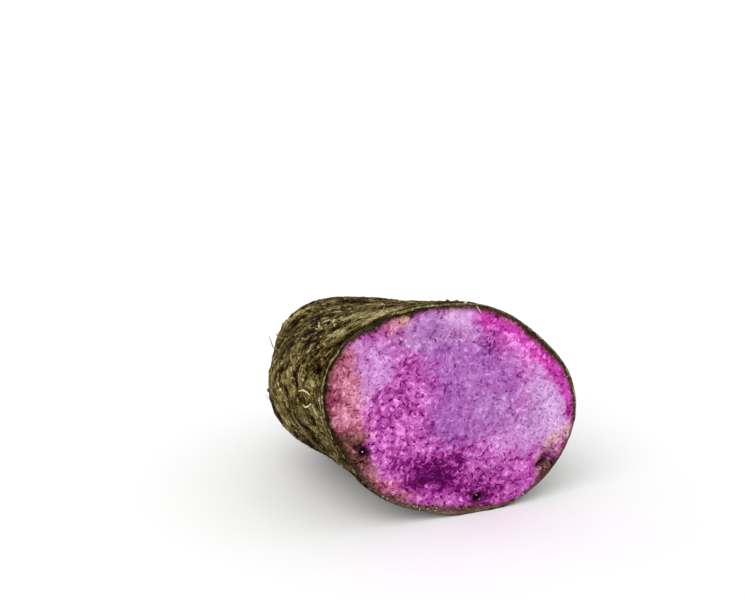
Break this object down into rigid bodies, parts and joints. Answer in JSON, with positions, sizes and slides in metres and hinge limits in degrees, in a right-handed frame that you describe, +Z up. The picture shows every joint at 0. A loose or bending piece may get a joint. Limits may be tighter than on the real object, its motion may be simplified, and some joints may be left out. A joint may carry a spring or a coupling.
{
  "type": "halved purple yam",
  "caption": "Half of a rough-skinned yam tuber lying on its side, with a rounded root end and a flat cut face of purple flesh.",
  "frame": {"origin": "on the surface it lies on, under the middle of its bounding box", "axes": "+Z up, the cut face looks along -Y and the tuber runs back along +Y to its root end, +X to the right as seen from the cut face"},
  "size_m": [0.0854, 0.086, 0.0668],
  "materials": {
    "yam": "rough fibrous bark-like skin, dull; the cut face is moist purple flesh"
  },
  "bodies": {
    "root": {"half_yam": "yam"}
  },
  "joints": []
}
